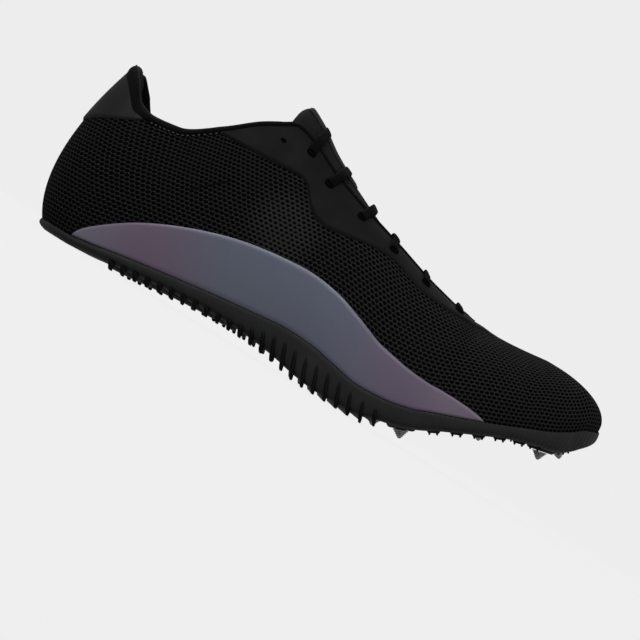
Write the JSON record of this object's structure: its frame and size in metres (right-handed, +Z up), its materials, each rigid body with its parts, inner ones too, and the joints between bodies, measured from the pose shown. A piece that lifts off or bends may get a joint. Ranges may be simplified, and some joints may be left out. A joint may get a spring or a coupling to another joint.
{
  "type": "track spike shoe",
  "caption": "Low black mesh running shoe with a ribbed spike plate, metal pins under the forefoot, a smooth throat film and low guard panels.",
  "frame": {"origin": "on the floor, under the middle of the shoe's box", "axes": "+X to the toe, +Y to the medial side, +Z up"},
  "size_m": [0.2852, 0.0958, 0.113],
  "materials": {
    "mesh": "black engineered mesh",
    "film": "smooth matte film",
    "panel": "satin shifting from lilac to slate",
    "tongue": "dark grey knit",
    "insole": "black textile on foam",
    "plate": "charcoal moulded plate",
    "lace": "flat black woven lace",
    "pin": "bare stepped steel pins"
  },
  "bodies": {
    "root": {"upper": "mesh", "eyestay": "film", "heel_tab": "film", "panel_lateral": "panel", "panel_medial": "panel", "tongue": "tongue", "insole": "insole", "sole": "plate", "lace_bar_1": "lace", "lace_bar_2": "lace", "lace_bar_3": "lace", "lace_bar_4": "lace", "lace_bar_5": "lace", "lace_bar_6": "lace", "pin_ball_lateral": "pin", "pin_ball_medial": "pin", "pin_front_lateral": "pin", "pin_front_medial": "pin", "pin_toe": "pin"}
  },
  "joints": []
}
